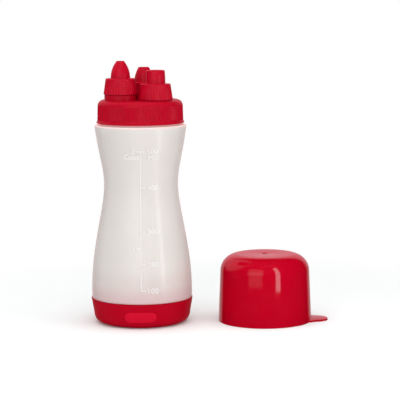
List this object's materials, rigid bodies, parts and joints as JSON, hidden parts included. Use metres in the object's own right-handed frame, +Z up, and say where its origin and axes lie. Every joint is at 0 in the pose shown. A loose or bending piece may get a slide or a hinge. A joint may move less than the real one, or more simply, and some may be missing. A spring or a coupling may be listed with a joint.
{
  "type": "batter squeeze bottle",
  "caption": "Waisted squeeze bottle for batter with a soft boot, ribbed screw lid, screw-on nozzles and a pull-off cover.",
  "frame": {"origin": "centre of the flat underside of the boot, on the bottle's axis", "axes": "+Z up along the bottle's axis, -Y towards the volume marks, +X towards the cover that stands beside it"},
  "size_m": [0.1926, 0.0824, 0.2123],
  "materials": {
    "frosted_bottle": "frosted, translucent, soft",
    "boot_rubber": "satin, soft",
    "lid_plastic": "semi-gloss, finely ribbed",
    "nozzle_plastic": "semi-gloss, ribbed skirt",
    "cover_plastic": "high gloss",
    "seal_silicone": "matte"
  },
  "bodies": {
    "bottle_body": {"bottle": "frosted_bottle", "base_boot": "boot_rubber", "cover": "cover_plastic"},
    "seal_body": {"lid_gasket": "seal_silicone"},
    "lid_body": {"lid": "lid_plastic"},
    "fine_washer_body": {"washer_fine": "seal_silicone"},
    "fine_nozzle_body": {"nozzle_fine": "nozzle_plastic"},
    "wide_washer_body": {"washer_wide": "seal_silicone"},
    "wide_nozzle_body": {"nozzle_wide": "nozzle_plastic"},
    "medium_washer_body": {"washer_medium": "seal_silicone"},
    "medium_nozzle_body": {"nozzle_medium": "nozzle_plastic"}
  },
  "joints": [
    {"name": "lid_rise", "type": "slide", "parent": "bottle_body", "child": "seal_body", "axis": [0, 0, 1], "range_m": [0, 0.00631]},
    {"name": "lid_turn", "type": "hinge", "parent": "seal_body", "child": "lid_body", "pos_m": [0, 0, 0.17], "axis": [0, 0, 1], "range_deg": [0, 540]},
    {"name": "fine_rise", "type": "slide", "parent": "lid_body", "child": "fine_washer_body", "axis": [0, 0, 1], "range_m": [0, 0.00326]},
    {"name": "fine_turn", "type": "hinge", "parent": "fine_washer_body", "child": "fine_nozzle_body", "pos_m": [-0.01542, -0.00592, 0.192], "axis": [0, 0, 1], "range_deg": [0, 450]},
    {"name": "wide_rise", "type": "slide", "parent": "lid_body", "child": "wide_washer_body", "axis": [0, 0, 1], "range_m": [0, 0.00326]},
    {"name": "wide_turn", "type": "hinge", "parent": "wide_washer_body", "child": "wide_nozzle_body", "pos_m": [0.01283, -0.01039, 0.188], "axis": [0, 0, 1], "range_deg": [0, 450]},
    {"name": "medium_rise", "type": "slide", "parent": "lid_body", "child": "medium_washer_body", "axis": [0, 0, 1], "range_m": [0, 0.00326]},
    {"name": "medium_turn", "type": "hinge", "parent": "medium_washer_body", "child": "medium_nozzle_body", "pos_m": [0.00258, 0.01631, 0.188], "axis": [0, 0, 1], "range_deg": [0, 450]}
  ],
  "couplings": [
    {"joint": "lid_rise", "follows": "lid_turn", "m_per_rad": 0.00066845},
    {"joint": "fine_rise", "follows": "fine_turn", "m_per_rad": 0.0004138},
    {"joint": "wide_rise", "follows": "wide_turn", "m_per_rad": 0.0004138},
    {"joint": "medium_rise", "follows": "medium_turn", "m_per_rad": 0.0004138}
  ]
}
